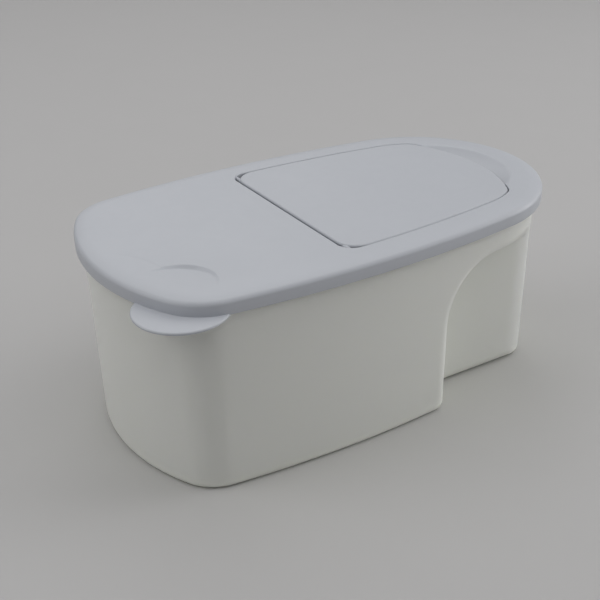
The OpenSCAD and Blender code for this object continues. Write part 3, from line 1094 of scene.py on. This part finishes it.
def ring_tree():
    """A tree that sweeps a rounded rectangle along the edges of the mesh it is given."""
    tree = bpy.data.node_groups.new("ring_sweep", "GeometryNodeTree")
    sockets = {}
    face = tree.interface
    face.new_socket("Line", in_out="INPUT", socket_type="NodeSocketGeometry")
    kinds = {"Across": "Float", "Tall": "Float", "Edge": "Float", "Material": "Material"}
    for name, kind in kinds.items():
        made = face.new_socket(name, in_out="INPUT", socket_type="NodeSocket" + kind)
        sockets[name] = made.identifier
    face.new_socket("Ring", in_out="OUTPUT", socket_type="NodeSocketGeometry")
    node, link = tree.nodes.new, tree.links.new
    start, end = node("NodeGroupInput"), node("NodeGroupOutput")
    line = node("GeometryNodeMeshToCurve")
    upright = node("GeometryNodeSetCurveNormal")
    upright.mode = "Z_UP"
    section = node("GeometryNodeCurvePrimitiveQuadrilateral")
    soften = node("GeometryNodeFilletCurve")
    soften.mode = "POLY"
    soften.inputs["Count"].default_value = RING_SIDES
    sweep = node("GeometryNodeCurveToMesh")
    realize = node("GeometryNodeRealizeInstances")
    paint = node("GeometryNodeSetMaterial")
    link(start.outputs["Line"], line.inputs["Mesh"])
    link(line.outputs["Curve"], upright.inputs["Curve"])
    link(start.outputs["Across"], section.inputs["Width"])
    link(start.outputs["Tall"], section.inputs["Height"])
    link(section.outputs["Curve"], soften.inputs["Curve"])
    link(start.outputs["Edge"], soften.inputs["Radius"])
    link(upright.outputs["Curve"], sweep.inputs["Curve"])
    link(soften.outputs["Curve"], sweep.inputs["Profile Curve"])
    link(sweep.outputs["Mesh"], realize.inputs["Geometry"])
    link(realize.outputs["Geometry"], paint.inputs["Geometry"])
    link(start.outputs["Material"], paint.inputs["Material"])
    link(paint.outputs["Geometry"], end.inputs["Ring"])
    return tree, sockets


soft_ring, ring_sockets = ring_tree()
print("ring tree with inputs", sorted(ring_sockets))


def make_ring(name, path, inset, low_z, high_z, across, material):
    """One soft ring round a path, made a plain mesh."""
    points = ring(path, inset)
    count = len(points)
    line = bpy.data.meshes.new(name + "_line")
    middle = (low_z + high_z) / 2
    places = [(MM * x, MM * y, MM * middle) for x, y in points]
    line.from_pydata(places, [(i, (i + 1) % count) for i in range(count)], [])
    guide = bpy.data.objects.new(name + "_guide", line)
    bpy.context.collection.objects.link(guide)
    modifier = guide.modifiers.new("ring", "NODES")
    modifier.node_group = soft_ring
    modifier[ring_sockets["Across"]] = MM * across
    modifier[ring_sockets["Tall"]] = MM * (high_z - low_z)
    modifier[ring_sockets["Edge"]] = MM * (high_z - low_z) * RING_EDGE_SHARE
    modifier[ring_sockets["Material"]] = material
    evaluated = guide.evaluated_get(bpy.context.evaluated_depsgraph_get())
    data = bpy.data.meshes.new_from_object(evaluated)
    data.name = name
    data.shade_smooth()
    piece = bpy.data.objects.new(name, data)
    bpy.context.collection.objects.link(piece)
    bpy.data.objects.remove(guide)
    sizes = [round(v / MM, 1) for v in piece.dimensions]
    print(name, len(data.polygons), "faces", "size", sizes)
    return piece


# %% [markdown]
# ## Finishes
# The lid and flap are satin white polypropylene with a faint cool tone, a fine moulded grain and a few
# rubbed places. The tub is the same plastic without pigment: milky, and light passes through it. The
# rings are soft grey rubber. Each finish has its own noise for tone, gloss and grain, so no surface is
# one flat colour, and everything is placed by Object coordinates so that it stays on the piece.

# %% Finish helper
GRAIN_SCALE = 1800.0
CLOUD_SCALE = 14.0
SCUFF_SCALE = 55.0
CLOUD_DETAIL = 3.0
SCUFF_DETAIL = 6.0
SCUFF_TWIST = 1.5
SCUFF_FROM = 0.35
SCUFF_TO = 0.75
GRAIN_DETAIL = 2.0
GRAIN_DEPTH = 0.0002
PLASTIC_IOR = 1.49


def finish(name, colour, shade, roughness, grain, scuff):
    """A plastic with cloudy tone, scuffed gloss and fine grain. Returns the material and its shader."""
    material = bpy.data.materials.new(name)
    material.use_nodes = True
    nodes, link = material.node_tree.nodes, material.node_tree.links.new
    shader = nodes["Principled BSDF"]
    place = nodes.new("ShaderNodeTexCoord")

    def noise(scale, detail, distortion=0.0):
        made = nodes.new("ShaderNodeTexNoise")
        made.inputs["Scale"].default_value = scale
        made.inputs["Detail"].default_value = detail
        made.inputs["Distortion"].default_value = distortion
        link(place.outputs["Object"], made.inputs["Vector"])
        return made

    cloud = noise(CLOUD_SCALE, CLOUD_DETAIL)
    tone = nodes.new("ShaderNodeMix")
    tone.data_type = "RGBA"
    tone.inputs["A"].default_value = (*colour, 1.0)
    tone.inputs["B"].default_value = (*shade, 1.0)
    link(cloud.outputs["Fac"], tone.inputs["Factor"])
    link(tone.outputs["Result"], shader.inputs["Base Color"])
    rub = noise(SCUFF_SCALE, SCUFF_DETAIL, SCUFF_TWIST)
    gloss = nodes.new("ShaderNodeMapRange")
    gloss.inputs["From Min"].default_value = SCUFF_FROM
    gloss.inputs["From Max"].default_value = SCUFF_TO
    gloss.inputs["To Min"].default_value = roughness
    gloss.inputs["To Max"].default_value = roughness + scuff
    link(rub.outputs["Fac"], gloss.inputs["Value"])
    link(gloss.outputs["Result"], shader.inputs["Roughness"])
    fine = noise(GRAIN_SCALE, GRAIN_DETAIL)
    bump = nodes.new("ShaderNodeBump")
    bump.inputs["Strength"].default_value = grain
    bump.inputs["Distance"].default_value = GRAIN_DEPTH
    link(fine.outputs["Fac"], bump.inputs["Height"])
    link(bump.outputs["Normal"], shader.inputs["Normal"])
    return material, shader


white_plastic, white_shader = finish(
    "satin_white_plastic", (0.500, 0.518, 0.558), (0.476, 0.494, 0.534), 0.42, 0.12, 0.10
)
white_shader.inputs["IOR"].default_value = PLASTIC_IOR
milky_plastic, milky_shader = finish(
    "milky_clear_plastic", (0.900, 0.930, 0.805), (0.885, 0.915, 0.790), 0.40, 0.10, 0.12
)
milky_shader.inputs["IOR"].default_value = PLASTIC_IOR
milky_shader.inputs["Subsurface Weight"].default_value = 1.0
milky_shader.inputs["Subsurface Radius"].default_value = (1.0, 1.0, 0.95)
milky_shader.inputs["Subsurface Scale"].default_value = 0.0058
soft_rubber, _ = finish(
    "soft_grey_rubber", (0.52, 0.54, 0.54), (0.46, 0.48, 0.48), 0.62, 0.25, 0.12
)
print("finishes", [m.name for m in (white_plastic, milky_plastic, soft_rubber)])

# %% Make the rings and dress every piece
LID_SEAL_WIDTH = 4.6
lid_seal_inset = (WALL_INSET_TOP - RIM_OUT + RIB_INSET) / 2
lid_ring = make_ring("lid_ring", lid_path, lid_seal_inset, RIM_Z, SEAT_Z, LID_SEAL_WIDTH, soft_rubber)
flap_ring = make_ring(
    "flap_ring",
    port_path,
    -PLUG_GAP - FLAP_SEAL_WIDTH / 2,
    POCKET_Z,
    FLAP_SEAT_Z,
    FLAP_SEAL_WIDTH,
    soft_rubber,
)

dressing = [
    (tub, milky_plastic, "tub", "tub", "tub_plastic"),
    (lid, white_plastic, "lid", "lid", "lid_plastic"),
    (flap, white_plastic, "flap", "flap", "lid_plastic"),
    (bead, white_plastic, "flap", None, "lid_plastic"),
    (lid_ring, soft_rubber, "lid", "lid_seal", "seal_rubber"),
    (flap_ring, soft_rubber, "flap", "flap_seal", "seal_rubber"),
]
for piece, material, body, node, slot in dressing:
    piece.data.materials.clear()
    piece.data.materials.append(material)
    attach(piece, body)
    if node:
        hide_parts(node)
print("dressed", [row[0].name for row in dressing])

# %% [markdown]
# ## Floor, backdrop and light
# The keeper stands on a pale sheet that rises behind it in one curve. The sheet is a profile drawn once
# and pulled sideways. The light is soft and comes from nearly all round, as from a light tent: one lamp
# would leave a hard shadow, and an even sky would leave none. Nine broad lamps are set by their
# direction, with the high ones strongest, so the lid is bright, its edge falls off gently and the skirt
# is darker. The world adds a little fill, and looks pale where the camera sees past the sheet.

# %% Floor and backdrop
SHEET_HALF = 3.0
SHEET_FRONT = -2.5
SHEET_BACK = 2.2
SHEET_CURVE = 0.8
SHEET_TOP = 2.5
SHEET_STEPS = 16


def make_sheet():
    turns = [math.pi / 2 * k / SHEET_STEPS for k in range(SHEET_STEPS + 1)]
    profile = [(SHEET_FRONT, 0.0)]
    profile += [(SHEET_BACK + SHEET_CURVE * math.sin(t), SHEET_CURVE * (1 - math.cos(t))) for t in turns]
    profile.append((SHEET_BACK + SHEET_CURVE, SHEET_TOP))
    points = [(side * SHEET_HALF, y, z) for y, z in profile for side in (-1, 1)]
    faces = [(2 * k, 2 * k + 1, 2 * k + 3, 2 * k + 2) for k in range(len(profile) - 1)]
    data = bpy.data.meshes.new("paper_sheet")
    data.from_pydata(points, [], faces)
    data.shade_smooth()
    sheet = bpy.data.objects.new("paper_sheet", data)
    bpy.context.collection.objects.link(sheet)
    return sheet


sheet = make_sheet()
paper, _ = finish("pale_paper", (0.486, 0.480, 0.480), (0.476, 0.470, 0.470), 0.85, 0.0, 0.0)
sheet.data.materials.append(paper)
sheet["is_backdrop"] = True
print("sheet of", len(sheet.data.polygons), "faces")

# %% Lamps


def area_lamp(name, place, aim, size, power):
    """A round soft lamp that faces what it is aimed at."""
    data = bpy.data.lights.new(name, "AREA")
    data.shape = "DISK"
    data.size = size
    data.energy = power
    lamp = bpy.data.objects.new(name, data)
    lamp.location = place
    lamp.rotation_euler = (Vector(aim) - Vector(place)).to_track_quat("-Z", "Y").to_euler()
    bpy.context.collection.objects.link(lamp)
    return lamp


def lamp_place(azimuth, elevation, distance):
    """A place round the keeper, with the azimuth counted from +X towards the far side."""
    around, up = math.radians(azimuth), math.radians(elevation)
    flat = distance * math.cos(up)
    return (flat * math.cos(around), flat * math.sin(around), distance * math.sin(up))


LAMP_AIM = (0.0, 0.0, 0.1)
LAMP_DISTANCE = 2.4
# Name, azimuth and elevation in degrees, size in metres and power in watts
LAMPS = [
    ("overhead", 0, 85, 3.0, 7.5),
    ("nose_high", 10, 62, 3.0, 10.5),
    ("left", 160, 32, 2.0, 13.7),
    ("left_high", 165, 58, 2.6, 10.1),
    ("right", -10, 32, 2.0, 5.5),
    ("right_low", -20, 14, 1.6, 20.6),
    ("front_high", -95, 58, 2.6, 9.7),
    ("front", -95, 35, 2.2, 4.1),
    ("behind", 75, 40, 2.0, 8.7),
]
for name, azimuth, elevation, size, power in LAMPS:
    area_lamp(name, lamp_place(azimuth, elevation, LAMP_DISTANCE), LAMP_AIM, size, power)
print("lamps", [row[0] for row in LAMPS])

# %% World
WORLD_FILL = 0.02
WORLD_SEEN = 0.40


def pale_world():
    """A world that lights a little, and looks pale to the camera and in reflections."""
    world = bpy.data.worlds.new("studio")
    world.use_nodes = True
    nodes, link = world.node_tree.nodes, world.node_tree.links.new
    background = nodes["Background"]
    ray = nodes.new("ShaderNodeLightPath")
    strength = nodes.new("ShaderNodeMapRange")
    strength.inputs["To Min"].default_value = WORLD_FILL
    strength.inputs["To Max"].default_value = WORLD_SEEN
    background.inputs["Color"].default_value = (1.0, 1.0, 1.0, 1.0)
    seen = ray.outputs["Is Camera Ray"]
    for kind in ("Is Glossy Ray", "Is Transmission Ray"):
        either = nodes.new("ShaderNodeMath")
        either.operation = "MAXIMUM"
        link(seen, either.inputs[0])
        link(ray.outputs[kind], either.inputs[1])
        seen = either.outputs["Value"]
    link(seen, strength.inputs["Value"])
    link(strength.outputs["Result"], background.inputs["Strength"])
    return world


bpy.context.scene.world = pale_world()
bpy.context.scene.view_settings.view_transform = "Standard"
print("world fills at", WORLD_FILL, "and is seen at", WORLD_SEEN)

# %% Sizes
visual_box = [list(corner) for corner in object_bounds()]
print("visual box", [[round(v, 4) for v in corner] for corner in visual_box])
